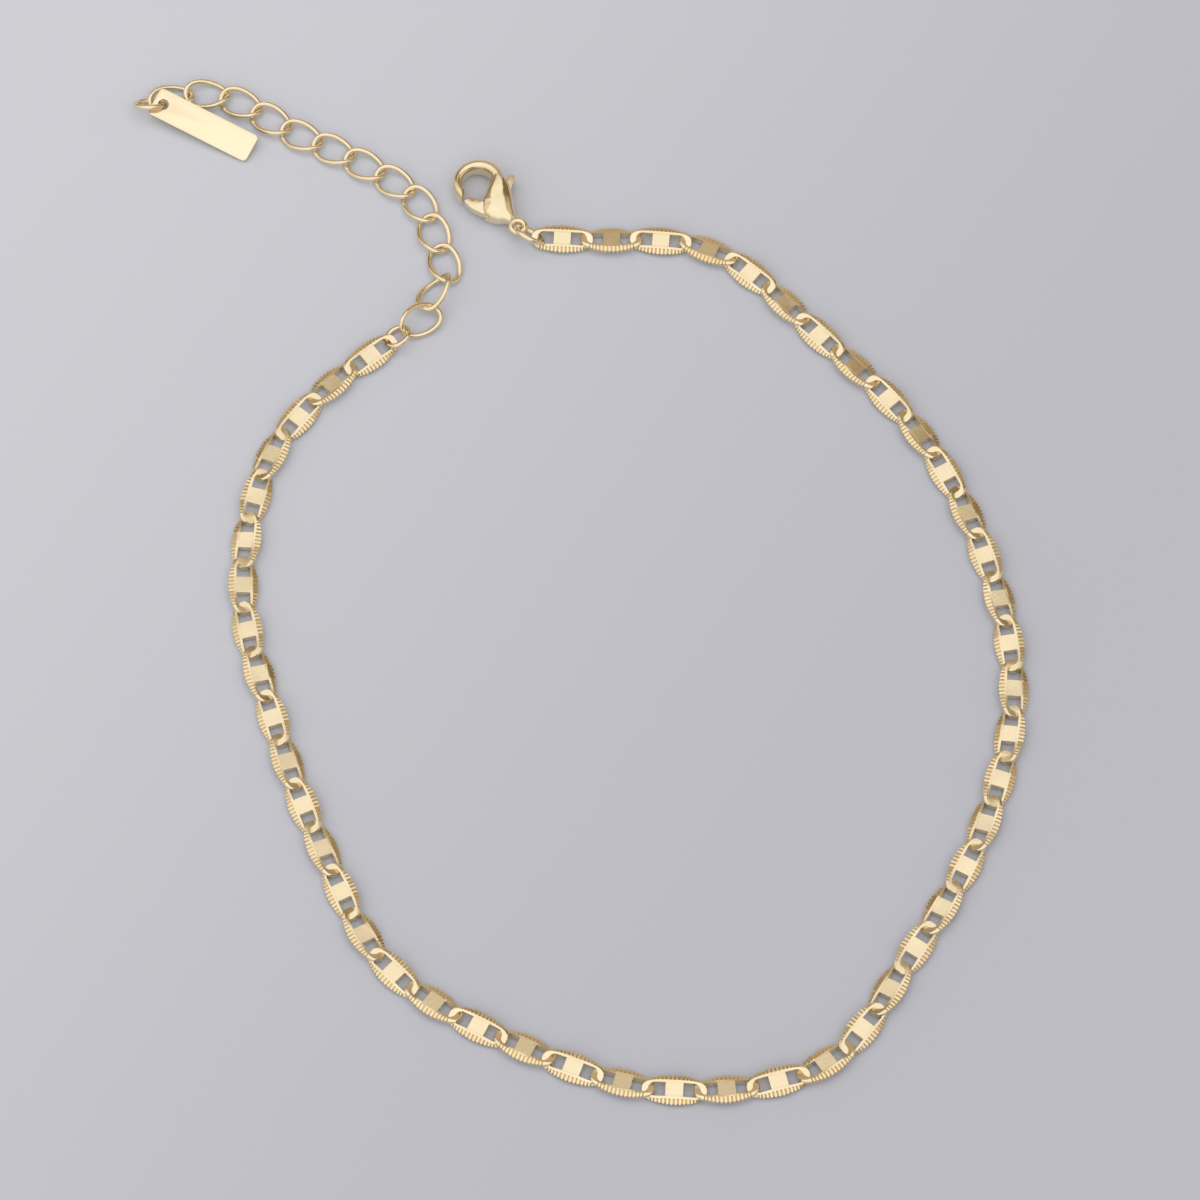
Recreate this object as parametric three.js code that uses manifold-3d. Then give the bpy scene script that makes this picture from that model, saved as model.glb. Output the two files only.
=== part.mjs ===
// Chain anklet in polished gold, lying open on a flat surface.
// Millimetres, +Z up, resting on z = 0, with the middle of its bounds at the origin.
import * as THREE from "three";
import Module from "manifold-3d";
import { mergeVertices } from "three/addons/utils/BufferGeometryUtils.js";

const wasm = await Module();
wasm.setup();

// Flat chain: a stamped link with a square plate in the middle and a window on each side of it
const LINK_COUNT = 49;
const LINKS_IN_CLASP_HALF = 24;
const LINK_LENGTH = 6.1;
const LINK_WIDTH = 2.86;
const LINK_WAIST = 1.96;
const LINK_THICKNESS = 0.6;
const LINK_BEVEL = 0.14;
const PLATE_LENGTH = 1.65;
const WINDOW_WIDTH = 1.32;
const END_BAR = 0.58;
const PLATE_ROLL = THREE.MathUtils.degToRad(7);
const END_ROLL = THREE.MathUtils.degToRad(19);
const HALF_CHAIN_GAP = 0.04;
const FINEST_DETAIL = 0.01;

// The line that the flat chain lies along, from its first link at the clasp round to its last
const CHAIN_ROUTE = [
  { x: -1.6, y: 36.9 },
  { x: 12.8, y: 35.6 },
  { x: 23.6, y: 25.9 },
  { x: 33.1, y: 14.9 },
  { x: 39.1, y: 1.5 },
  { x: 41.3, y: -12.8 },
  { x: 38.1, y: -26.8 },
  { x: 31.1, y: -39.9 },
  { x: 22.8, y: -50.9 },
  { x: 8.5, y: -53.5 },
  { x: -5.1, y: -49.2 },
  { x: -17.5, y: -41.2 },
  { x: -24.2, y: -28.4 },
  { x: -28.7, y: -15.9 },
  { x: -32.0, y: -1.5 },
  { x: -29.6, y: 12.8 },
  { x: -23.8, y: 20.7 },
  { x: -20.2, y: 23.8 },
];

// Extender chain: twisted oval links of round wire
const EXTENDER_WIRE = 0.42;
const EXTENDER_LENGTH = 4.75;
const EXTENDER_WIDTH = 3.35;
const EXTENDER_TWIST = 0.36;
const EXTENDER_HEIGHT = EXTENDER_TWIST + EXTENDER_WIRE / 2;

// The first two extender links, which don't lie on the route: tilt rolls a link about its long axis
const LOOSE_LINKS = [
  { x: -15.386, y: 27.593, z: 1.028, heading: 32.1, tilt: 29, pitch: 7.67 },
  { x: -14.007, y: 30.746, z: 1.092, heading: 54.61, tilt: -33.68, pitch: -6.3 },
];

// The line that the other extender links lie along
const EXTENDER_ROUTE = [
  { x: -13.1, y: 34.1 },
  { x: -15.8, y: 41.1 },
  { x: -21.8, y: 45.7 },
  { x: -28.28, y: 49.1 },
  { x: -34.02, y: 52.66 },
  { x: -37.49, y: 53.48 },
  { x: -40.39, y: 52.9 },
];
const ROUTE_LINKS = 11;

// Round wire rings: outer is across the ring, and tilt leans it about the diameter that heading gives
const WIRE_SIDES = 6;
const LOOP_SIDES = 16;
const RING_CLEARANCE = 0.04;
const RINGS = [
  {
    name: "clasp_jump_ring",
    outer: 3.3,
    wire: 0.46,
    spot: { x: -4.8, y: 37, z: 1.3, heading: -30, tilt: -49, pitch: 8.5 },
  },
  {
    name: "extender_jump_ring",
    outer: 2.85,
    wire: 0.42,
    spot: { x: -17.629, y: 25.869, z: 0.809, heading: 57.59, tilt: -28.72, pitch: 0 },
  },
  {
    name: "tag_ring",
    outer: 3.3,
    wire: 0.5,
    spot: { x: -42.43, y: 51.92, z: 1.25, heading: 0, tilt: -45.5, pitch: 0 },
  },
];

// Tag: a flat bar with rounded corners and a hole for its ring
const TAG_LENGTH = 11;
const TAG_WIDTH = 2.9;
const TAG_THICKNESS = 0.5;
const TAG_CORNER = 0.45;
const TAG_HOLE = 1.1;
const TAG_HOLE_INSET = 1.0;
const TAG_PLACE = { x: -37.1, y: 49.6, z: 1.07, heading: -27.7, tilt: 14.7, pitch: 4.8 };

// Lobster clasp, in its own frame: u runs from the eyelet to the crown of the hook and v to the lever's side
const CLASP_PLACE = { x: -5.95, y: 38.0, z: 1.2, heading: 129.5 };
const HOOK_CENTRE = 6.12;
const HOOK_OUTER = 2.57;
const HOLE_RADIUS = 1.53;
const CLASP_THICKNESS = 2.4;
const CLASP_ROUNDING = 0.18;
const EYELET_OUTER = 1.92;
const EYELET_WIRE = 0.48;
const LEVER_THICKNESS = 0.9;
const LEVER_PLAY = 0.09;
const PIVOT = { u: 3.2, v: 0.4 };
const PIN_RADIUS = 0.32;
const PIN_HOLE_RADIUS = 0.46;
const LEVER_HUB = 0.86;

const GOLD = { color: 0xd8b566, roughness: 0.2, metalness: 1 };
const MILLED_GOLD = { color: 0xcfaa5c, roughness: 0.32, metalness: 1 };

// A three.js geometry as a solid that can be joined and cut
function solidOf(geometry) {
  geometry.deleteAttribute("normal");
  geometry.deleteAttribute("uv");
  const merged = mergeVertices(geometry, 1e-5);
  return new wasm.Manifold(
    new wasm.Mesh({
      numProp: 3,
      vertProperties: new Float32Array(merged.attributes.position.array),
      triVerts: new Uint32Array(merged.index.array),
    }),
  );
}

function geometryOf(solid) {
  const mesh = solid.getMesh();
  const geometry = new THREE.BufferGeometry();
  geometry.setAttribute("position", new THREE.BufferAttribute(mesh.vertProperties, 3));
  geometry.setIndex(new THREE.BufferAttribute(mesh.triVerts, 1));
  return geometry;
}

function namedMesh(name, geometry, finish) {
  const flat = geometry.index ? geometry.toNonIndexed() : geometry;
  flat.computeVertexNormals();
  const mesh = new THREE.Mesh(flat, new THREE.MeshStandardMaterial(finish));
  mesh.name = name;
  return mesh;
}

function moveVertices(geometry, movePoint) {
  const positions = geometry.attributes.position;
  const point = new THREE.Vector3();
  for (let i = 0; i < positions.count; i += 1) {
    movePoint(point.fromBufferAttribute(positions, i));
    positions.setXYZ(i, point.x, point.y, point.z);
  }
  return geometry;
}

function shapeThrough(points) {
  return new THREE.Shape(points.map(([x, y]) => new THREE.Vector2(x, y)));
}

// Mirrors the quarter of an outline that has x and y positive into the other three quarters
function fourQuarters(quarter) {
  const left = quarter.map(([x, y]) => [-x, y]).reverse();
  const upper = [...left, ...quarter.slice(1)];
  const lower = upper.map(([x, y]) => [x, -y]).reverse();
  return [...upper, ...lower];
}

// Flat link

function linkOutline(grow) {
  const half = LINK_LENGTH / 2 + grow;
  const wide = LINK_WIDTH / 2 + grow;
  const waist = LINK_WAIST / 2 + grow;
  return shapeThrough(
    fourQuarters([
      [0, wide],
      [0.4 * half, (2 * wide + waist) / 3],
      [0.7 * half, waist],
      [0.89 * half, 0.74 * waist],
      [half, 0.3 * waist],
    ]).reverse(),
  );
}

function windowShape(side, grow) {
  const near = PLATE_LENGTH / 2 + grow;
  const far = LINK_LENGTH / 2 - END_BAR - grow;
  const half = WINDOW_WIDTH / 2 - grow;
  const points = [
    [near, -half],
    [0.76 * far, -half],
    [far, -0.4 * half],
    [far, 0.4 * half],
    [0.76 * far, half],
    [near, half],
  ];
  return shapeThrough(points.map(([x, y]) => [side * x, side * y]));
}

function extrudedSolid(shape, thickness, steps = 1) {
  const geometry = new THREE.ExtrudeGeometry(shape, { depth: thickness, steps, bevelEnabled: false });
  return geometry.translate(0, 0, -thickness / 2);
}

// Pulls the top and bottom rims in, so that the rails slope away on their outer side
function slopeRails(geometry, thickness) {
  return moveVertices(geometry, (point) => {
    if (Math.abs(point.z) > thickness / 4) {
      point.x *= 1 - LINK_BEVEL / (LINK_LENGTH / 2);
      point.y *= 1 - LINK_BEVEL / (LINK_WIDTH / 2);
    }
  });
}

// Rolls a link about its length, more at its ends than at its plate: raised is 1 or -1, the side that is lifted
function rollLink(geometry, raised) {
  return moveVertices(geometry, (point) => {
    const towardsEnd = Math.min(1, Math.abs(point.x) / (LINK_LENGTH / 2));
    const roll = raised * THREE.MathUtils.lerp(PLATE_ROLL, END_ROLL, towardsEnd);
    const { y, z } = point;
    point.y = y * Math.cos(roll) - z * Math.sin(roll);
    point.z = y * Math.sin(roll) + z * Math.cos(roll);
  });
}

function flatLink(raised, grow = 0) {
  const thickness = LINK_THICKNESS + 2 * grow;
  let link = solidOf(slopeRails(extrudedSolid(linkOutline(grow), thickness, 2), thickness));
  for (const side of [-1, 1]) {
    link = link.subtract(solidOf(extrudedSolid(windowShape(side, grow), 2 * thickness)));
  }
  return rollLink(geometryOf(link), raised);
}

// Chain along the route

function routeCurve(points) {
  const curve = new THREE.CatmullRomCurve3(points.map(({ x, y }) => new THREE.Vector3(x, y, 0)));
  curve.arcLengthDivisions = 100 * points.length;
  return curve;
}

// The places of count links that are evenly spaced along a route, each in line with its stretch of it
function placesAlong(points, count) {
  const curve = routeCurve(points);
  const halfPitch = 0.5 / (count - 1);
  const places = [];
  for (let i = 0; i < count; i += 1) {
    const share = i / (count - 1);
    const { x, y } = curve.getPointAt(share);
    const ahead = curve.getPointAt(Math.min(1, share + halfPitch));
    const along = ahead.sub(curve.getPointAt(Math.max(0, share - halfPitch)));
    places.push({ x, y, heading: Math.atan2(along.y, along.x) });
  }
  return places;
}

function linkHeight() {
  return (LINK_WAIST / 2) * Math.sin(END_ROLL) + (LINK_THICKNESS / 2) * Math.cos(END_ROLL);
}

// Neighbouring links roll opposite ways, so that each slips under the raised side of the next
function placedLink(spot, number, grow) {
  const raised = number % 2 === 0 ? 1 : -1;
  const geometry = flatLink(raised, grow);
  geometry.rotateZ(spot.heading);
  geometry.translate(spot.x, spot.y, linkHeight());
  return solidOf(geometry);
}

// The main body of joined or cut links, without the specks and slivers where their faces cross
function mainBody(solid) {
  const pieces = solid.asOriginal().simplify(FINEST_DETAIL).decompose();
  return pieces.reduce((largest, piece) => (piece.volume() > largest.volume() ? piece : largest));
}

function halfChain(places, first, last) {
  let chain = placedLink(places[first], first);
  for (let number = first + 1; number <= last; number += 1) {
    chain = chain.add(placedLink(places[number], number));
  }
  return mainBody(chain);
}

// Cuts the chain back a little wherever a jump ring would rub on it
function easeRoundRings(chain) {
  const eased = RINGS.reduce((rest, ring) => {
    const clear = roundLoop(ring.outer + 2 * RING_CLEARANCE, ring.wire + 2 * RING_CLEARANCE);
    const mesh = place(closedLoop(ring.name, clear), ring.spot);
    mesh.updateMatrixWorld(true);
    return rest.subtract(solidOf(mesh.geometry.clone().applyMatrix4(mesh.matrixWorld)));
  }, chain);
  return mainBody(eased);
}

// The two halves hook into each other with a gap cut round the last link of the first one
function flatChain() {
  const places = placesAlong(CHAIN_ROUTE, LINK_COUNT);
  const meeting = LINKS_IN_CLASP_HALF - 1;
  const claspHalf = halfChain(places, 0, meeting);
  const cleared = placedLink(places[meeting], meeting, HALF_CHAIN_GAP);
  const extenderHalf = halfChain(places, meeting + 1, LINK_COUNT - 1).subtract(cleared);
  return [
    namedMesh("flat_chain_clasp_half", geometryOf(easeRoundRings(claspHalf)), MILLED_GOLD),
    namedMesh("flat_chain_extender_half", geometryOf(easeRoundRings(extenderHalf)), MILLED_GOLD),
  ];
}

// Wire loops

// Bends a torus so that its wire follows centreAt, a closed curve given by an angle
function wireLoop(centreAt, wire) {
  const step = 1e-3;
  const geometry = new THREE.TorusGeometry(1, wire / 2, WIRE_SIDES, LOOP_SIDES);
  const up = new THREE.Vector3(0, 0, 1);
  moveVertices(geometry, (point) => {
    const angle = Math.atan2(point.y, point.x);
    const outward = Math.hypot(point.x, point.y) - 1;
    const lift = point.z;
    const tangent = centreAt(angle + step).sub(centreAt(angle - step)).normalize();
    const side = tangent.clone().cross(up).normalize();
    const across = side.clone().cross(tangent);
    point.copy(centreAt(angle)).addScaledVector(side, outward).addScaledVector(across, lift);
  });
  return geometry;
}

function roundLoop(outer, wire) {
  const radius = (outer - wire) / 2;
  return wireLoop((angle) => new THREE.Vector3(radius * Math.cos(angle), radius * Math.sin(angle), 0), wire);
}

function twistedLoop() {
  const long = (EXTENDER_LENGTH - EXTENDER_WIRE) / 2;
  const short = (EXTENDER_WIDTH - EXTENDER_WIRE) / 2;
  return wireLoop((angle) => {
    const rise = -EXTENDER_TWIST * Math.sin(2 * angle);
    return new THREE.Vector3(long * Math.cos(angle), short * Math.sin(angle), rise);
  }, EXTENDER_WIRE);
}

// Turns a mesh by its tilt about its own length, then its pitch, then its heading
function place(mesh, { x, y, z, heading, tilt = 0, pitch = 0 }) {
  const degrees = THREE.MathUtils.degToRad;
  mesh.rotation.set(degrees(tilt), degrees(pitch), degrees(heading), "ZYX");
  mesh.position.set(x, y, z);
  return mesh;
}

function closedLoop(name, geometry) {
  return namedMesh(name, geometryOf(solidOf(geometry)), GOLD);
}

function extenderChain() {
  const routed = placesAlong(EXTENDER_ROUTE, ROUTE_LINKS).map(({ x, y, heading }) => ({
    x,
    y,
    z: EXTENDER_HEIGHT,
    heading: THREE.MathUtils.radToDeg(heading),
  }));
  return [...LOOSE_LINKS, ...routed].map((spot, i) => {
    const name = `extender_link_${String(i + 1).padStart(2, "0")}`;
    return place(closedLoop(name, twistedLoop()), spot);
  });
}

function jumpRings() {
  return RINGS.map(({ name, outer, wire, spot }) => place(closedLoop(name, roundLoop(outer, wire)), spot));
}

// Tag

function tag() {
  const [long, wide] = [TAG_LENGTH / 2, TAG_WIDTH / 2];
  const shape = new THREE.Shape();
  shape.moveTo(long, wide - TAG_CORNER);
  shape.absarc(long - TAG_CORNER, wide - TAG_CORNER, TAG_CORNER, 0, Math.PI / 2);
  shape.absarc(-long + TAG_CORNER, wide - TAG_CORNER, TAG_CORNER, Math.PI / 2, Math.PI);
  shape.absarc(-long + TAG_CORNER, -wide + TAG_CORNER, TAG_CORNER, Math.PI, 1.5 * Math.PI);
  shape.absarc(long - TAG_CORNER, -wide + TAG_CORNER, TAG_CORNER, 1.5 * Math.PI, 2 * Math.PI);
  const hole = new THREE.Path();
  hole.absarc(-long + TAG_HOLE_INSET, 0, TAG_HOLE / 2, 0, 2 * Math.PI, true);
  shape.holes.push(hole);
  const geometry = new THREE.ExtrudeGeometry(shape, {
    depth: TAG_THICKNESS,
    bevelEnabled: false,
    curveSegments: 4,
  });
  geometry.translate(0, 0, -TAG_THICKNESS / 2);
  return place(namedMesh("tag", geometryOf(solidOf(geometry)), GOLD), TAG_PLACE);
}

// Lobster clasp

// Half of the clasp's thickness at u, as a share of its thickest place
function claspFullness(u) {
  const belly = PIVOT.u;
  const nose = 0.25;
  const crown = 0.68;
  if (u < belly) {
    return THREE.MathUtils.lerp(nose, 1, Math.sin((Math.max(0, u) / belly) * (Math.PI / 2)));
  }
  const towardsCrown = (u - belly) / (HOOK_CENTRE + HOOK_OUTER - belly);
  return THREE.MathUtils.lerp(1, crown, towardsCrown * towardsCrown);
}

function claspOutline() {
  const degrees = THREE.MathUtils.degToRad;
  const shape = new THREE.Shape();
  shape.moveTo(0.75, -0.3);
  shape.splineThru([
    new THREE.Vector2(1.7, -0.85),
    new THREE.Vector2(2.6, -1.5),
    new THREE.Vector2(3.65, -2.05),
    new THREE.Vector2(4.7, -2.35),
  ]);
  shape.absarc(HOOK_CENTRE, 0, HOOK_OUTER, degrees(-117), degrees(101));
  shape.lineTo(5.76, 2.2);
  shape.absarc(HOOK_CENTRE, 0.1, HOLE_RADIUS, degrees(88), degrees(-105), true);
  shape.lineTo(4.2, 1.0);
  shape.lineTo(3.0, 1.85);
  shape.splineThru([
    new THREE.Vector2(2.2, 1.7),
    new THREE.Vector2(1.5, 1.15),
    new THREE.Vector2(0.75, 0.3),
  ]);
  return shape;
}

function claspShell() {
  const geometry = new THREE.ExtrudeGeometry(claspOutline(), {
    depth: CLASP_THICKNESS - 4 * CLASP_ROUNDING,
    curveSegments: 4,
    bevelThickness: 2 * CLASP_ROUNDING,
    bevelSize: CLASP_ROUNDING,
    bevelOffset: -CLASP_ROUNDING,
    bevelSegments: 2,
  });
  geometry.translate(0, 0, 2 * CLASP_ROUNDING - CLASP_THICKNESS / 2);
  return solidOf(
    moveVertices(geometry, (point) => {
      point.z *= claspFullness(point.x);
    }),
  );
}

// The slot between the clasp's two cheeks, where the lever lies and swings
function leverSlot() {
  const points = [
    [2.15, 0.9],
    [2.15, -3.4],
    [5.0, -3.4],
    [4.75, -1.2],
    [5.4, 1.0],
    [5.4, 3.2],
    [3.0, 3.2],
    [2.5, 1.35],
  ];
  return solidOf(extrudedSolid(shapeThrough(points), LEVER_THICKNESS + 2 * LEVER_PLAY));
}

function pinSolid(radius, length) {
  const geometry = new THREE.CylinderGeometry(radius, radius, length, 12);
  return solidOf(geometry.rotateX(Math.PI / 2).translate(PIVOT.u, PIVOT.v, 0));
}

function claspBody() {
  const eyelet = solidOf(roundLoop(EYELET_OUTER, EYELET_WIRE));
  const slotted = claspShell().subtract(leverSlot());
  const pin = pinSolid(PIN_RADIUS, CLASP_THICKNESS - 0.6);
  return slotted.add(pin).add(eyelet);
}

function leverShape() {
  const shape = new THREE.Shape();
  shape.moveTo(5.5, 1.75);
  shape.lineTo(5.36, 2.4);
  shape.lineTo(4.3, 2.35);
  shape.lineTo(3.15, 1.9);
  shape.lineTo(2.75, PIVOT.v + 0.75);
  shape.absarc(PIVOT.u, PIVOT.v, LEVER_HUB, Math.PI * 0.72, Math.PI * 1.25);
  shape.lineTo(3.5, -1.9);
  shape.lineTo(3.95, -2.55);
  shape.lineTo(4.25, -3.2);
  shape.lineTo(4.75, -3.15);
  shape.lineTo(4.75, -2.6);
  shape.lineTo(4.3, -1.8);
  shape.lineTo(4.05, -0.1);
  shape.lineTo(4.25, 1.05);
  return shape;
}

function claspLever() {
  const plate = solidOf(extrudedSolid(leverShape(), LEVER_THICKNESS));
  return plate.subtract(pinSolid(PIN_HOLE_RADIUS, CLASP_THICKNESS));
}

function clasp() {
  return [
    place(namedMesh("clasp_body", geometryOf(claspBody()), GOLD), CLASP_PLACE),
    place(namedMesh("clasp_lever", geometryOf(claspLever()), GOLD), CLASP_PLACE),
  ];
}

// The whole anklet, moved so that its bounds are centred over the origin

const anklet = new THREE.Group();
anklet.add(...flatChain(), ...extenderChain(), ...jumpRings(), tag(), ...clasp());
anklet.updateMatrixWorld(true);
const middle = new THREE.Box3().setFromObject(anklet, true).getCenter(new THREE.Vector3());
anklet.position.set(-middle.x, -middle.y, 0);
anklet.updateMatrixWorld(true);

export default anklet;
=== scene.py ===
# Chain anklet in polished gold, lying open on a pale surface. Metres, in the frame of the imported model.
import math

import bmesh
import bpy
import numpy as np
from mathutils import Matrix, Vector


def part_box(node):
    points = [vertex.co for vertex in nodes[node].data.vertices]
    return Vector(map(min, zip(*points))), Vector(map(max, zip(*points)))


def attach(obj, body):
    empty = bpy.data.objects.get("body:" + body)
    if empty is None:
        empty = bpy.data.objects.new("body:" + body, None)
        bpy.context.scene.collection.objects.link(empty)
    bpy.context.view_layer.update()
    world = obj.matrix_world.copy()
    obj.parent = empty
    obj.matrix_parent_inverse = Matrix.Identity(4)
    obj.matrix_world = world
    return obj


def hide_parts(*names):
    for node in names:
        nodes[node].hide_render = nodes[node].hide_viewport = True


# A millimetre, and a length too small to see
MM = 0.001
A_HAIR = 0.01 * MM

# Flat link, in the sizes of the solid one
LINK_COUNT = 49
LINKS_IN_CLASP_HALF = 24
LINK_LENGTH = 6.1 * MM
LINK_WAIST = 1.96 * MM
LINK_THICKNESS = 0.6 * MM
PLATE_LENGTH = 1.65 * MM
WINDOW_WIDTH = 1.32 * MM
WINDOW_CORNER = 0.58 * MM
END_BAR = 0.64 * MM
PLATE_ROLL = math.radians(7)
END_ROLL = math.radians(19)

# The milled rim of a flat link, in millimetres. Each ring of points, from the flat top down to the side
# wall, is a rounded outline: flatness and roundness shape its flanks and its tips, and a notch moves its
# points in and down.
RIM_POINTS = 192
POINTS_PER_NOTCH = 4
NOTCHED_LENGTH = 4.7 * MM
RIM_RINGS = [
    dict(height=0.3, long=2.99, wide=0.9, flatness=4.0, roundness=2.8, notch_in=0.0, notch_down=0.0),
    dict(height=0.285, long=3.01, wide=0.96, flatness=3.4, roundness=2.8, notch_in=0.0, notch_down=0.17),
    dict(height=0.15, long=3.05, wide=1.44, flatness=1.6, roundness=2.9, notch_in=0.14, notch_down=0.14),
]

# The fine grooves beside the plate, and the steps in which a link's ends are rolled
GROOVE_WIDTH = 0.055 * MM
GROOVE_DEPTH = 0.06 * MM
ROLL_STEP = 0.15 * MM

# The line that the flat chain lies along, in millimetres in the part's own places before it was centred
CHAIN_ROUTE = [
    (-1.6, 36.9), (12.8, 35.6), (23.6, 25.9), (33.1, 14.9), (39.1, 1.5), (41.3, -12.8),
    (38.1, -26.8), (31.1, -39.9), (22.8, -50.9), (8.5, -53.5), (-5.1, -49.2), (-17.5, -41.2),
    (-24.2, -28.4), (-28.7, -15.9), (-32.0, -1.5), (-29.6, 12.8), (-23.8, 20.7), (-20.2, 23.8),
]

# An extender link that tells how far the part was centred, and its own place before that
LANDMARK = "extender_link_03"
LANDMARK_PLACE = Vector((-13.1, 34.1)) * MM

# Wire of the extender and the rings, drawn a little fuller than the solids' wire. The last two values are
# the steps in a quarter of a loop, and how finely the wire is rounded.
EXTENDER_WIRE = 0.5 * MM
EXTENDER_LENGTH = 4.75 * MM
EXTENDER_WIDTH = 3.35 * MM
EXTENDER_TWIST = math.radians(54)
RINGS = [
    dict(node="clasp_jump_ring", outer=3.35 * MM, wire=0.56 * MM),
    dict(node="extender_jump_ring", outer=2.93 * MM, wire=0.5 * MM),
    dict(node="tag_ring", outer=3.32 * MM, wire=0.54 * MM),
]
BENDS_IN_A_QUARTER = 20
WIRE_ROUNDNESS = 7

# Tag. Its place is in millimetres and degrees, in the part's own places.
TAG_LENGTH = 11 * MM
TAG_WIDTH = 2.9 * MM
TAG_THICKNESS = 0.5 * MM
TAG_CORNER = 0.45 * MM
TAG_HOLE = 1.1 * MM
TAG_HOLE_INSET = 1.0 * MM
TAG_SOFTENING = 0.07 * MM
TAG_PLACE = dict(x=-37.1, y=49.6, z=1.07, heading=-27.7, tilt=14.7, pitch=4.8)

# Lobster clasp, in millimetres in its own frame: u runs from eyelet to crown, v to the lever's side.
# Its outline goes round by the lower side, the hook, the hook's tip, the hole, the mouth and the upper
# side. The hook and the hole are arcs, given by the degrees where they start and end.
CLASP_PLACE = dict(x=-5.95, y=38.0, z=1.2, heading=129.5, tilt=0, pitch=0)
HOOK_CENTRE = 6.12
HOOK_OUTER = 2.57
HOOK_ARC = (-117, 101)
HOLE_CENTRE_V = 0.1
HOLE_RADIUS = 1.53
HOLE_ARC = (88, -105)
LOWER_SIDE = [(0.7, -0.32), (1.1, -0.52), (1.7, -0.88), (2.6, -1.5), (3.65, -2.05), (4.7, -2.33)]
HOOK_TIP = [(5.73, 2.15)]
MOUTH_SIDE = [(4.2, 1.0), (3.6, 1.5), (3.0, 1.83)]
UPPER_SIDE = [(2.2, 1.7), (1.5, 1.15), (1.0, 0.55), (0.7, 0.32)]

# How the clasp is rounded: its thickness along u, as shares of the belly's, and towards its outline
CLASP_THICKNESS = 2.4
BELLY_U = 3.2
NOSE_FULLNESS = 0.28
CROWN_FULLNESS = 0.7
EDGE_HEIGHT = 0.3
BODY_ROUNDING = 1.15
HOOK_ROUNDING = 0.52
BODY_ENDS_U = 3.3
BODY_FADES_OVER = 1.6
SCULPT_GRAIN = 0.055

# The lever, its slot and its pin, and the clasp's eyelet
SLOT_OUTLINE = [
    (2.15, 0.9), (2.15, -3.4), (5.0, -3.4), (4.75, -1.2), (5.4, 1.0), (5.4, 3.2), (3.0, 3.2), (2.5, 1.35),
]
SLOT_WIDTH = 1.08
EYELET_OUTER = 1.92
EYELET_WIRE = 0.58
PIN = dict(u=3.2, v=0.4, radius=0.32, length=1.8)
LEVER_OUTLINE = [
    (5.5, 1.75), (5.36, 2.4), (4.3, 2.35), (3.15, 1.9), (2.72, 1.3), (2.46, 0.86), (2.34, 0.4),
    (2.46, -0.06), (2.72, -0.32), (3.5, -1.9), (3.95, -2.55), (4.2, -3.05), (4.38, -3.24),
    (4.62, -3.22), (4.76, -3.04), (4.75, -2.6), (4.3, -1.8), (4.05, -0.1), (4.25, 1.05),
]
LEVER_THICKNESS = 0.9
LEVER_SOFTENING = 0.16
PIN_HOLE_RADIUS = 0.46

# Gold, and how it is mixed with a deeper gold
GOLD = (0.91, 0.81, 0.605, 1)
DEEPER_GOLD = (0.86, 0.725, 0.47, 1)
CLOUD_SCALE = 120.0

# Floor, in metres: a painted fall-off of light, from its colour in painted shade to its colour in painted
# light, and where along a line one turns into the other
FLOOR_SIZE = 4
FLOOR_ROUGHNESS = 0.6
FLOOR_IN_PAINTED_SHADE = (0.567, 0.605, 0.728, 1)
FLOOR_IN_PAINTED_LIGHT = (0.703, 0.759, 0.902, 1)
PAINTED_LIGHT_TOWARDS = (-0.85, 0.53, 0)
PAINTED_LIGHT_FROM = -0.045
PAINTED_LIGHT_TO = 0.085

# Camera: a long lens that looks down on the loop
LOOKS_DOWN = math.radians(63)
CAMERA_DISTANCE = 0.669
LENS = 210
AIMED_AT = Vector((2.1, -2.5)) * MM

# Light from soft boxes. An edge is the cosine of the angle between it and the middle of its box, and
# softness is how far to each side of the edge the light fades, in the same measure.
SOFT_BOXES = [
    dict(direction=(-0.1, -0.25, 0.96), edge=0.62, softness=0.025, strength=0.9),
    dict(direction=(-0.09, -0.06, 0.99), edge=0.94, softness=0.06, strength=1.02),
    dict(direction=(-0.75, -0.5, 0.43), edge=0.42, softness=0.15, strength=0.68),
    dict(direction=(0.85, -0.1, 0.5), edge=0.84, softness=0.09, strength=0.5),
    dict(direction=(0.05, 0.95, 0.3), edge=0.86, softness=0.1, strength=0.36),
]
ROOM_LIGHT = 0.2
ROOM_TINT = (1, 0.7, 0.34, 1)
SOFT_BOX_TINT = (1, 0.99, 0.97, 1)

# The sockets of a Mix node that carry colours
COLOUR_A = 6
COLOUR_B = 7
COLOUR_OUT = 2

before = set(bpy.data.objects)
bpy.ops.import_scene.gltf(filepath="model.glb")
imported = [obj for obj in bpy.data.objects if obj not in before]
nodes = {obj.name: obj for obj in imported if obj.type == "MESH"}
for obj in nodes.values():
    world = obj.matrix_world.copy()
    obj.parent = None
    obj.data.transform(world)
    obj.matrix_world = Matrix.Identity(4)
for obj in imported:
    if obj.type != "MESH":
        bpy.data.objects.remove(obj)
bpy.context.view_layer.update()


# Helpers

def deselect_everything():
    if bpy.context.object and bpy.context.object.mode != "OBJECT":
        bpy.ops.object.mode_set(mode="OBJECT")
    bpy.ops.object.select_all(action="DESELECT")


def make_active(piece):
    deselect_everything()
    piece.select_set(True)
    bpy.context.view_layer.objects.active = piece


def pick(piece, kind, test):
    """Goes into edit mode and selects the edges or faces of a piece that pass a test."""
    bpy.ops.object.mode_set(mode="EDIT")
    bpy.ops.mesh.select_all(action="DESELECT")
    bpy.ops.mesh.select_mode(type=kind)
    mesh = bmesh.from_edit_mesh(piece.data)
    mesh.normal_update()
    for part in mesh.edges if kind == "EDGE" else mesh.faces:
        part.select_set(bool(test(part)))
    mesh.select_flush_mode()
    bmesh.update_edit_mesh(piece.data)


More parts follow.
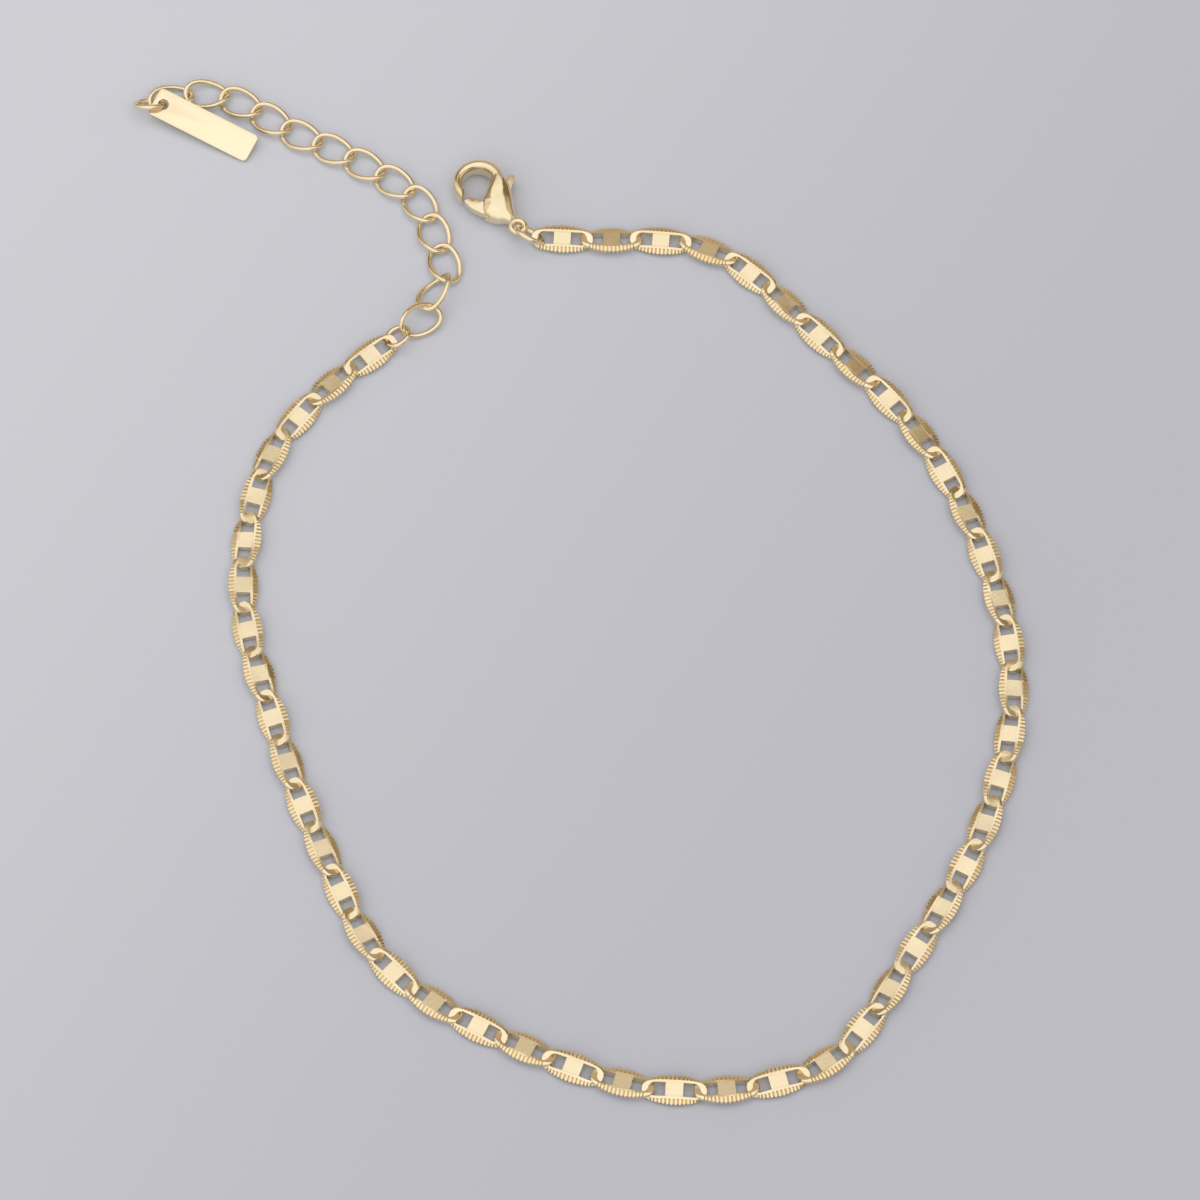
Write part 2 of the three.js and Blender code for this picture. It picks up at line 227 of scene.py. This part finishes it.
def apply_modifier(piece, kind, **settings):
    make_active(piece)
    modifier = piece.modifiers.new(kind.title(), kind)
    for name, value in settings.items():
        setattr(modifier, name, value)
    bpy.ops.object.modifier_apply(modifier=modifier.name)


def cut(piece, cutter):
    apply_modifier(piece, "BOOLEAN", operation="DIFFERENCE", solver="MANIFOLD", object=cutter)
    bpy.data.objects.remove(cutter)


def join_on(piece, other):
    apply_modifier(piece, "BOOLEAN", operation="UNION", solver="MANIFOLD", object=other)
    bpy.data.objects.remove(other)


def soften(piece, width):
    """Rounds a piece's sharp edges."""
    corner = math.radians(50)
    apply_modifier(piece, "BEVEL", width=width, segments=4, limit_method="ANGLE", angle_limit=corner)


def smooth(piece, angle):
    make_active(piece)
    bpy.ops.object.shade_smooth_by_angle(angle=math.radians(angle))


def block(middle, size):
    bpy.ops.mesh.primitive_cube_add(size=1, location=middle, scale=size)
    piece = bpy.context.object
    bpy.ops.object.transform_apply(location=True, rotation=True, scale=True)
    return piece


def rod(x, y, radius, length):
    bpy.ops.mesh.primitive_cylinder_add(vertices=64, radius=radius, depth=length, location=(x, y, 0))
    piece = bpy.context.object
    bpy.ops.object.transform_apply(location=True, rotation=True, scale=True)
    return piece


def settle(piece, matrix):
    """Moves a piece's mesh and leaves its object at the origin."""
    piece.data.transform(matrix)
    piece.matrix_world = Matrix.Identity(4)


def placed_copy(model, name, matrix):
    piece = bpy.data.objects.new(name, model.data.copy())
    bpy.context.scene.collection.objects.link(piece)
    piece.data.transform(matrix)
    return piece


def finish_piece(piece, name, material, body, node):
    piece.name = name
    piece.data.name = name
    piece.data.materials.clear()
    piece.data.materials.append(material)
    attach(piece, body)
    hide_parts(node)


# Gold

def add_group(name, inputs, outputs):
    group = bpy.data.node_groups.new(name, "ShaderNodeTree")
    for label, kind, value in inputs:
        socket = group.interface.new_socket(label, in_out="INPUT", socket_type=kind)
        socket.default_value = value
    for label, kind in outputs:
        group.interface.new_socket(label, in_out="OUTPUT", socket_type=kind)
    return group, group.nodes.new("NodeGroupInput"), group.nodes.new("NodeGroupOutput")


def link_up(tree, *pairs):
    for source, target in pairs:
        tree.links.new(source, target)


def rise_along(tree, place, direction, first, last, height=1):
    """A value that rises smoothly from 0 to a height, from the first to the last place on a direction."""
    along = tree.nodes.new("ShaderNodeVectorMath")
    along.operation = "DOT_PRODUCT"
    along.inputs[1].default_value = direction
    rise = tree.nodes.new("ShaderNodeMapRange")
    rise.interpolation_type = "SMOOTHSTEP"
    rise.inputs["From Min"].default_value = first
    rise.inputs["From Max"].default_value = last
    rise.inputs["To Max"].default_value = height
    link_up(tree, (place, along.inputs[0]), (along.outputs["Value"], rise.inputs["Value"]))
    return rise.outputs["Result"]


def polish_wear_group():
    """Fine wear of a polished surface: a roughness that changes in patches, and a height for a bump."""
    group, given, result = add_group(
        "polish_wear",
        [
            ("Patch scale", "NodeSocketFloat", 300.0),
            ("Grain scale", "NodeSocketFloat", 4000.0),
            ("Lowest roughness", "NodeSocketFloat", 0.08),
            ("Highest roughness", "NodeSocketFloat", 0.22),
        ],
        [("Roughness", "NodeSocketFloat"), ("Height", "NodeSocketFloat")],
    )
    where = group.nodes.new("ShaderNodeTexCoord")
    patches = group.nodes.new("ShaderNodeTexNoise")
    grain = group.nodes.new("ShaderNodeTexNoise")
    span = group.nodes.new("ShaderNodeMapRange")
    patches.inputs["Detail"].default_value = 4
    grain.inputs["Detail"].default_value = 2
    span.inputs["From Min"].default_value = 0.35
    span.inputs["From Max"].default_value = 0.65
    link_up(
        group,
        (where.outputs["Object"], patches.inputs["Vector"]),
        (where.outputs["Object"], grain.inputs["Vector"]),
        (given.outputs["Patch scale"], patches.inputs["Scale"]),
        (given.outputs["Grain scale"], grain.inputs["Scale"]),
        (patches.outputs["Fac"], span.inputs["Value"]),
        (given.outputs["Lowest roughness"], span.inputs["To Min"]),
        (given.outputs["Highest roughness"], span.inputs["To Max"]),
        (span.outputs["Result"], result.inputs["Roughness"]),
        (grain.outputs["Fac"], result.inputs["Height"]),
    )
    return group


def gold_tone_group():
    """Gold that is a little paler and a little redder from place to place."""
    group, given, result = add_group(
        "gold_tone",
        [
            ("Gold", "NodeSocketColor", GOLD),
            ("Deeper gold", "NodeSocketColor", DEEPER_GOLD),
            ("Scale", "NodeSocketFloat", CLOUD_SCALE),
        ],
        [("Color", "NodeSocketColor")],
    )
    where = group.nodes.new("ShaderNodeTexCoord")
    cloud = group.nodes.new("ShaderNodeTexNoise")
    blend = group.nodes.new("ShaderNodeMix")
    blend.data_type = "RGBA"
    link_up(
        group,
        (where.outputs["Object"], cloud.inputs["Vector"]),
        (given.outputs["Scale"], cloud.inputs["Scale"]),
        (cloud.outputs["Fac"], blend.inputs["Factor"]),
        (given.outputs["Gold"], blend.inputs[COLOUR_A]),
        (given.outputs["Deeper gold"], blend.inputs[COLOUR_B]),
        (blend.outputs[COLOUR_OUT], result.inputs["Color"]),
    )
    return group


def gold(name, roughness, bump_height, patch_scale, grain_scale):
    """A gold whose roughness goes from the first to the second of two, with a fine bump."""
    material = bpy.data.materials.new(name)
    material.use_nodes = True
    tree = material.node_tree
    shader = tree.nodes["Principled BSDF"]
    shader.inputs["Metallic"].default_value = 1
    colour = tree.nodes.new("ShaderNodeGroup")
    colour.node_tree = GOLD_TONE
    surface = tree.nodes.new("ShaderNodeGroup")
    surface.node_tree = POLISH_WEAR
    surface.inputs["Patch scale"].default_value = patch_scale
    surface.inputs["Grain scale"].default_value = grain_scale
    surface.inputs["Lowest roughness"].default_value = roughness[0]
    surface.inputs["Highest roughness"].default_value = roughness[1]
    bump = tree.nodes.new("ShaderNodeBump")
    bump.inputs["Distance"].default_value = bump_height
    link_up(
        tree,
        (colour.outputs["Color"], shader.inputs["Base Color"]),
        (surface.outputs["Roughness"], shader.inputs["Roughness"]),
        (surface.outputs["Height"], bump.inputs["Height"]),
        (bump.outputs["Normal"], shader.inputs["Normal"]),
    )
    return material


GOLD_TONE = gold_tone_group()
POLISH_WEAR = polish_wear_group()
MILLED_GOLD = gold("milled_gold", (0.18, 0.32), 0.004 * MM, patch_scale=300, grain_scale=4000)
WIRE_GOLD = gold("drawn_wire_gold", (0.1, 0.2), 0.003 * MM, patch_scale=300, grain_scale=4000)
CAST_GOLD = gold("cast_gold", (0.14, 0.24), 0.012 * MM, patch_scale=400, grain_scale=1500)
LEVER_GOLD = gold("pitted_cast_gold", (0.16, 0.28), 0.016 * MM, patch_scale=400, grain_scale=2600)
SHEET_GOLD = gold("polished_sheet_gold", (0.1, 0.18), 0.002 * MM, patch_scale=200, grain_scale=900)


# Flat link

def window_cutter(side):
    """A block that cuts the window on one side of the plate, with round corners at the link's end."""
    near = PLATE_LENGTH / 2
    far = LINK_LENGTH / 2 - END_BAR
    middle = (side * (near + far) / 2, 0, 0)
    cutter = block(middle, (far - near, WINDOW_WIDTH, 3 * LINK_THICKNESS))

    def is_far_corner(edge):
        ends = [vertex.co for vertex in edge.verts]
        upright = abs(ends[0].z - ends[1].z) > LINK_THICKNESS
        return upright and all(abs(end.x) > far - A_HAIR for end in ends)

    pick(cutter, "EDGE", is_far_corner)
    bpy.ops.mesh.bevel(offset=WINDOW_CORNER, segments=8, affect="EDGES")
    bpy.ops.object.mode_set(mode="OBJECT")
    return cutter


def rim_point(ring, number, is_notch):
    """One point of a ring of the rim, above the link's middle."""
    angle = 2 * math.pi * number / RIM_POINTS
    along, side = math.cos(angle), math.sin(angle)
    reach = max(0.0, 1 - abs(along)**ring["flatness"]) ** (1 / ring["roundness"])
    across = math.copysign(ring["wide"] * reach, side) if number % (RIM_POINTS // 2) else 0.0
    height = ring["height"]
    if is_notch:
        across -= math.copysign(ring["notch_in"], across)
        height -= ring["notch_down"]
    return Vector((ring["long"] * along, across, height)) * MM


def link_blank():
    """A flat oval disc whose rim slopes away above and below its side wall, with notches in the slope.

    It starts as a cylinder one unit high, with its side wall's rings of points at 0.5 and -0.5. Each end
    is extruded by one unit for every other ring, and then each point is put on its own ring.
    """
    bpy.ops.mesh.primitive_cylinder_add(vertices=RIM_POINTS, radius=1, depth=1, end_fill_type="NGON")
    blank = bpy.context.object
    for side in (-1, 1):
        for _ in RIM_RINGS[1:]:
            pick(blank, "FACE", lambda face: face.normal.z * side > 0.9)
            bpy.ops.mesh.extrude_region_move(TRANSFORM_OT_translate={"value": (0, 0, side)})
    bpy.ops.object.mode_set(mode="OBJECT")
    for vertex in blank.data.vertices:
        x, y, z = vertex.co
        number = round(math.atan2(y, x) / (2 * math.pi) * RIM_POINTS) % RIM_POINTS
        above_wall = round(abs(z) - 0.5)
        on_flank = abs(math.cos(2 * math.pi * number / RIM_POINTS)) * LINK_LENGTH < NOTCHED_LENGTH
        is_notch = on_flank and number % POINTS_PER_NOTCH == 0
        point = rim_point(RIM_RINGS[-1 - above_wall], number, is_notch)
        vertex.co = (point.x, point.y, math.copysign(point.z, z))
    return blank


def groove_cutters():
    """Blocks that cut the fine lines between the centre plate and the rails."""
    for side in (-1, 1):
        for face in (-1, 1):
            middle = (0, side * (WINDOW_WIDTH - GROOVE_WIDTH) / 2, face * LINK_THICKNESS / 2)
            yield block(middle, (PLATE_LENGTH + A_HAIR, GROOVE_WIDTH, 2 * GROOVE_DEPTH))


def divide_along(piece):
    """Cuts the faces across the length, so that the ends roll smoothly while the plate stays flat."""
    mesh = bmesh.new()
    mesh.from_mesh(piece.data)
    count = math.ceil((LINK_LENGTH / 2 - PLATE_LENGTH / 2) / ROLL_STEP)
    for i in range(count):
        for side in (-1, 1):
            place = side * (PLATE_LENGTH / 2 + i * ROLL_STEP)
            everything = [*mesh.verts, *mesh.edges, *mesh.faces]
            bmesh.ops.bisect_plane(
                mesh, geom=everything, dist=1e-9, plane_co=(place, 0, 0), plane_no=(1, 0, 0)
            )
    mesh.to_mesh(piece.data)
    mesh.free()


def flat_link():
    deselect_everything()
    link = link_blank()
    for side in (-1, 1):
        cut(link, window_cutter(side))
    for cutter in groove_cutters():
        cut(link, cutter)
    divide_along(link)
    link.name = "link_model"
    return link


def rolled_link(model, raised):
    """The link with its left or right side lifted, more at its ends than at its plate."""
    link = placed_copy(model, "link_rolled", Matrix.Identity(4))
    length = LINK_LENGTH / 2
    plate = PLATE_LENGTH / 2
    for vertex in link.data.vertices:
        beyond = max(0.0, abs(vertex.co.x) - plate) / (length - plate)
        roll = raised * (PLATE_ROLL + (END_ROLL - PLATE_ROLL) * min(1.0, beyond))
        vertex.co = Matrix.Rotation(roll, 3, "X") @ vertex.co
    return link


# Places along the route, as the solid chain has them

def knot_spacing(a, b):
    return math.sqrt((b - a).length)


def route_points(table, samples=200):
    """Points close together along a centripetal Catmull-Rom curve through the table."""
    knots = [Vector(point) * MM for point in table]
    knots = [2 * knots[0] - knots[1], *knots, 2 * knots[-1] - knots[-2]]
    points = []
    for i in range(1, len(knots) - 2):
        p0, p1, p2, p3 = knots[i - 1:i + 3]
        d0, d1, d2 = knot_spacing(p0, p1), knot_spacing(p1, p2), knot_spacing(p2, p3)
        leaving = ((p1 - p0) / d0 - (p2 - p0) / (d0 + d1) + (p2 - p1) / d1) * d1
        arriving = ((p2 - p1) / d1 - (p3 - p1) / (d1 + d2) + (p3 - p2) / d2) * d1
        for k in range(samples):
            t = k / samples
            a = 2 * t**3 - 3 * t**2 + 1
            b = t**3 - 2 * t**2 + t
            c = -2 * t**3 + 3 * t**2
            d = t**3 - t**2
            points.append(a * p1 + b * leaving + c * p2 + d * arriving)
    points.append(knots[-2])
    return np.array([tuple(point) for point in points])


def places_along(table, count):
    """The place and heading of each of the links, which are evenly spaced along the route."""
    points = route_points(table)
    steps = np.hypot(*np.diff(points, axis=0).T)
    reached = np.concatenate([[0], np.cumsum(steps)]) / steps.sum()

    def at(share):
        share = min(1.0, max(0.0, share))
        return np.array([np.interp(share, reached, points[:, axis]) for axis in (0, 1)])

    places = []
    for i in range(count):
        share = i / (count - 1)
        ahead = at(share + 0.5 / (count - 1)) - at(share - 0.5 / (count - 1))
        places.append((*at(share), math.atan2(ahead[1], ahead[0])))
    return places


def centring_shift():
    """How far centring has moved the part, read from its landmark."""
    low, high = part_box(LANDMARK)
    middle = (low + high) / 2
    return Vector((middle.x, middle.y)) - LANDMARK_PLACE


def link_height():
    """How high the middle of a rolled link is when its lower side lies on the floor."""
    return LINK_WAIST / 2 * math.sin(END_ROLL) + LINK_THICKNESS / 2 * math.cos(END_ROLL)


def flat_chain():
    """Both halves of the flat chain. Neighbours roll opposite ways, and each half is one joined body."""
    model = flat_link()
    rolled = {raised: rolled_link(model, raised) for raised in (1, -1)}
    shift = centring_shift()
    places = places_along(CHAIN_ROUTE, LINK_COUNT)
    halves = {
        "flat_chain_clasp_half": range(LINKS_IN_CLASP_HALF),
        "flat_chain_extender_half": range(LINKS_IN_CLASP_HALF, LINK_COUNT),
    }
    for node, numbers in halves.items():
        chain = None
        for number in numbers:
            x, y, heading = places[number]
            matrix = Matrix.Translation((x + shift.x, y + shift.y, link_height()))
            matrix = matrix @ Matrix.Rotation(heading, 4, "Z")
            link = placed_copy(rolled[1 if number % 2 == 0 else -1], f"link_{number}", matrix)
            if chain is None:
                chain = link
            else:
                join_on(chain, link)
        smooth(chain, 18)
        name = node.replace("flat_chain", "milled_chain")
        finish_piece(chain, name, MILLED_GOLD, "anklet", node)
    for scrap in (model, *rolled.values()):
        bpy.data.objects.remove(scrap)


# Wire loops, each laid where its solid one lies

def node_matrix(node):
    """The middle and the turn of a loop's own solid, from the spread of its points."""
    points = np.array([tuple(vertex.co) for vertex in nodes[node].data.vertices])
    points = np.unique(np.round(points, 8), axis=0)
    middle = points.mean(axis=0)
    _, axes = np.linalg.eigh(np.cov((points - middle).T))
    long, wide = Vector(axes[:, 2]), Vector(axes[:, 1])
    turn = Matrix((long, wide, long.cross(wide))).transposed()
    return Matrix.Translation(middle) @ turn.to_4x4()


def oval_wire(length, width, wire):
    """A closed oval of round wire, bent from a circle."""
    deselect_everything()
    bpy.ops.curve.primitive_bezier_circle_add(radius=1)
    bend = bpy.context.object
    bpy.ops.object.mode_set(mode="EDIT")
    bpy.ops.curve.select_all(action="SELECT")
    bpy.ops.transform.resize(value=((length - wire) / 2, (width - wire) / 2, 1))
    bpy.ops.object.mode_set(mode="OBJECT")
    bend.data.resolution_u = BENDS_IN_A_QUARTER
    bend.data.bevel_depth = wire / 2
    bend.data.bevel_resolution = WIRE_ROUNDNESS
    bpy.ops.object.convert(target="MESH")
    return bpy.context.object


def twisted_link():
    link = oval_wire(EXTENDER_LENGTH, EXTENDER_WIDTH, EXTENDER_WIRE)
    apply_modifier(link, "SIMPLE_DEFORM", deform_method="TWIST", deform_axis="X", angle=-EXTENDER_TWIST)
    smooth(link, 60)
    return link


def extender_chain():
    model = twisted_link()
    for node in sorted(name for name in nodes if name.startswith("extender_link")):
        piece = placed_copy(model, node, node_matrix(node))
        finish_piece(piece, node.replace("link", "wire_link"), WIRE_GOLD, "anklet", node)
    bpy.data.objects.remove(model)


def jump_rings():
    for row in RINGS:
        node = row["node"]
        ring = oval_wire(row["outer"], row["outer"], row["wire"])
        smooth(ring, 60)
        settle(ring, node_matrix(node))
        finish_piece(ring, f"{node}_wire", WIRE_GOLD, "anklet", node)


# Tag

def place_matrix(place):
    """The matrix of a piece's place."""
    shift = centring_shift()
    matrix = Matrix.Translation((place["x"] * MM + shift.x, place["y"] * MM + shift.y, place["z"] * MM))
    for word, axis in (("heading", "Z"), ("pitch", "Y"), ("tilt", "X")):
        matrix = matrix @ Matrix.Rotation(math.radians(place[word]), 4, axis)
    return matrix


def tag():
    deselect_everything()
    bar = block((0, 0, 0), (TAG_LENGTH, TAG_WIDTH, TAG_THICKNESS))
    pick(bar, "EDGE", lambda edge: abs(edge.verts[0].co.z - edge.verts[1].co.z) > TAG_THICKNESS / 2)
    bpy.ops.mesh.bevel(offset=TAG_CORNER, segments=10, affect="EDGES")
    bpy.ops.object.mode_set(mode="OBJECT")
    cut(bar, rod(-TAG_LENGTH / 2 + TAG_HOLE_INSET, 0, TAG_HOLE / 2, 2 * TAG_THICKNESS))
    soften(bar, TAG_SOFTENING)
    smooth(bar, 40)
    settle(bar, place_matrix(TAG_PLACE))
    finish_piece(bar, "polished_tag", SHEET_GOLD, "anklet", "tag")


# Lobster clasp

def arc_points(centre_v, radius, first, last, step=6):
    """Points on an arc round the hook's centre, from the first to the last angle in degrees."""
    count = math.ceil(abs(last - first) / step)
    angles = [math.radians(first + (last - first) * i / count) for i in range(count + 1)]
    return [(HOOK_CENTRE + radius * math.cos(a), centre_v + radius * math.sin(a)) for a in angles]


def clasp_outline():
    hook = arc_points(0, HOOK_OUTER, *HOOK_ARC)
    hole = arc_points(HOLE_CENTRE_V, HOLE_RADIUS, *HOLE_ARC)
    return [*LOWER_SIDE, *hook[1:], *HOOK_TIP, *hole, *MOUTH_SIDE, *UPPER_SIDE]


def slab(name, outline, thickness):
    """A flat plate of the given outline, round the plane z = 0."""
    mesh = bmesh.new()
    corners = [mesh.verts.new((x, y, -thickness / 2)) for x, y in outline]
    face = mesh.faces.new(corners)
    lifted = bmesh.ops.extrude_face_region(mesh, geom=[face])["geom"]
    top = [part for part in lifted if isinstance(part, bmesh.types.BMVert)]
    bmesh.ops.translate(mesh, vec=(0, 0, thickness), verts=top)
    bmesh.ops.recalc_face_normals(mesh, faces=mesh.faces)
    data = bpy.data.meshes.new(name)
    mesh.to_mesh(data)
    mesh.free()
    piece = bpy.data.objects.new(name, data)
    bpy.context.scene.collection.objects.link(piece)
    return piece


def distance_to(line, points):
    """How far each point is from a line through corners."""
    nearest = np.full(len(points), np.inf)
    for a, b in zip(line, line[1:]):
        a, b = np.array(a), np.array(b)
        along = b - a
        share = np.clip((points - a) @ along / (along @ along), 0, 1)
        nearest = np.minimum(nearest, np.linalg.norm(points - a - share[:, None] * along, axis=1))
    return nearest


def eased(value):
    """A value from 0 to 1, with a gentle start and end."""
    value = np.clip(value, 0, 1)
    return value * value * (3 - 2 * value)


def clasp_fullness(u):
    """Half of the clasp's thickness at u, as a share of its thickest place."""
    rising = NOSE_FULLNESS + (1 - NOSE_FULLNESS) * np.sin(np.clip(u / BELLY_U, 0, 1) * math.pi / 2)
    towards_crown = np.clip((u - BELLY_U) / (HOOK_CENTRE + HOOK_OUTER - BELLY_U), 0, 1)
    return np.where(u < BELLY_U, rising, 1 - (1 - CROWN_FULLNESS) * towards_crown**2)


def sculpted_shell():
    """The clasp's cast shell without its slot, round in the hook and domed in the body."""
    outline = clasp_outline()
    shell = slab("clasp_shell", outline, CLASP_THICKNESS)
    apply_modifier(shell, "REMESH", mode="VOXEL", voxel_size=SCULPT_GRAIN)
    points = np.array([tuple(vertex.co) for vertex in shell.data.vertices])
    u = points[:, 0]
    from_edge = distance_to([*outline, outline[0]], points[:, :2])
    into_hook = eased((u - BODY_ENDS_U) / BODY_FADES_OVER)
    rounding = BODY_ROUNDING + (HOOK_ROUNDING - BODY_ROUNDING) * into_hook
    inward = 1 - np.clip(from_edge / rounding, 0, 1)
    profile = EDGE_HEIGHT + (1 - EDGE_HEIGHT) * np.sqrt(1 - inward**2)
    points[:, 2] *= profile * clasp_fullness(u)
    for vertex, point in zip(shell.data.vertices, points):
        vertex.co = point
    apply_modifier(shell, "REMESH", mode="VOXEL", voxel_size=SCULPT_GRAIN)
    apply_modifier(shell, "SMOOTH", factor=0.5, iterations=6)
    return shell


def clasp_eyelet():
    eyelet = oval_wire(EYELET_OUTER, EYELET_OUTER, EYELET_WIRE)
    eyelet.name = "clasp_eyelet"
    return eyelet


def clasp_body():
    """The shell with the lever's slot, joined to the pin and the eyelet. It is built in millimetres."""
    deselect_everything()
    shell = sculpted_shell()
    cut(shell, slab("lever_slot", SLOT_OUTLINE, SLOT_WIDTH))
    join_on(shell, rod(PIN["u"], PIN["v"], PIN["radius"], PIN["length"]))
    join_on(shell, clasp_eyelet())
    smooth(shell, 40)
    settle(shell, place_matrix(CLASP_PLACE) @ Matrix.Scale(MM, 4))
    finish_piece(shell, "cast_clasp", CAST_GOLD, "anklet", "clasp_body")


def clasp_lever():
    deselect_everything()
    lever = slab("lever_plate", LEVER_OUTLINE, LEVER_THICKNESS)
    cut(lever, rod(PIN["u"], PIN["v"], PIN_HOLE_RADIUS, 2 * LEVER_THICKNESS))
    soften(lever, LEVER_SOFTENING)
    smooth(lever, 50)
    settle(lever, place_matrix(CLASP_PLACE) @ Matrix.Scale(MM, 4))
    finish_piece(lever, "cast_lever", LEVER_GOLD, "lever", "clasp_lever")


# Floor, light and camera

def pale_floor_with_painted_light():
    """A plain pale floor with painted light: its colour is a little brighter at the back on the left,
    standing in for light that falls off across it.
    """
    deselect_everything()
    bpy.ops.mesh.primitive_plane_add(size=FLOOR_SIZE)
    floor = bpy.context.object
    floor.name = "floor"
    material = bpy.data.materials.new("pale_floor_with_painted_light")
    material.use_nodes = True
    tree = material.node_tree
    shader = tree.nodes["Principled BSDF"]
    shader.inputs["Roughness"].default_value = FLOOR_ROUGHNESS
    where = tree.nodes.new("ShaderNodeTexCoord")
    # Painted light: the base colour turns from the dim to the bright floor colour along a line, in place
    # of a real fall-off of light.
    rise = rise_along(tree, where.outputs["Object"], PAINTED_LIGHT_TOWARDS, PAINTED_LIGHT_FROM, PAINTED_LIGHT_TO)
    blend = tree.nodes.new("ShaderNodeMix")
    blend.data_type = "RGBA"
    blend.inputs[COLOUR_A].default_value = FLOOR_IN_PAINTED_SHADE
    blend.inputs[COLOUR_B].default_value = FLOOR_IN_PAINTED_LIGHT
    link_up(
        tree,
        (rise, blend.inputs["Factor"]),
        (blend.outputs[COLOUR_OUT], shader.inputs["Base Color"]),
    )
    floor.data.materials.append(material)


def soft_box(tree, direction, edge, softness, strength):
    """Light from all directions within a soft edge round one direction, as a number."""
    where = tree.nodes.new("ShaderNodeTexCoord")
    middle = Vector(direction).normalized()
    return rise_along(tree, where.outputs["Generated"], middle, edge - softness, edge + softness, strength)


def studio_light():
    """A dim warm room with a broad soft box overhead, a brighter middle to it, and others low down."""
    world = bpy.data.worlds.new("studio")
    bpy.context.scene.world = world
    world.use_nodes = True
    tree = world.node_tree
    background = tree.nodes["Background"]
    brightest = soft_box(tree, **SOFT_BOXES[0])
    for row in SOFT_BOXES[1:]:
        brighter = tree.nodes.new("ShaderNodeMath")
        brighter.operation = "MAXIMUM"
        link_up(tree, (brightest, brighter.inputs[0]), (soft_box(tree, **row), brighter.inputs[1]))
        brightest = brighter.outputs["Value"]
    total = tree.nodes.new("ShaderNodeMath")
    total.operation = "ADD"
    total.inputs[1].default_value = ROOM_LIGHT
    tint = tree.nodes.new("ShaderNodeMix")
    tint.data_type = "RGBA"
    tint.inputs[COLOUR_A].default_value = ROOM_TINT
    tint.inputs[COLOUR_B].default_value = SOFT_BOX_TINT
    link_up(
        tree,
        (brightest, total.inputs[0]),
        (brightest, tint.inputs["Factor"]),
        (tint.outputs[COLOUR_OUT], background.inputs["Color"]),
        (total.outputs["Value"], background.inputs["Strength"]),
    )


def camera():
    data = bpy.data.cameras.new("camera")
    data.lens = LENS
    data.clip_start = 0.01
    camera = bpy.data.objects.new("camera", data)
    bpy.context.scene.collection.objects.link(camera)
    shift = centring_shift()
    aim = Vector((AIMED_AT.x + shift.x, AIMED_AT.y + shift.y, 0))
    back = Vector((0, -math.cos(LOOKS_DOWN), math.sin(LOOKS_DOWN)))
    camera.location = aim + back * CAMERA_DISTANCE
    camera.rotation_euler = (math.pi / 2 - LOOKS_DOWN, 0, 0)
    bpy.context.scene.camera = camera


flat_chain()
extender_chain()
jump_rings()
tag()
clasp_body()
clasp_lever()
pale_floor_with_painted_light()
studio_light()
camera()
bpy.context.scene.view_settings.view_transform = "Standard"
deselect_everything()
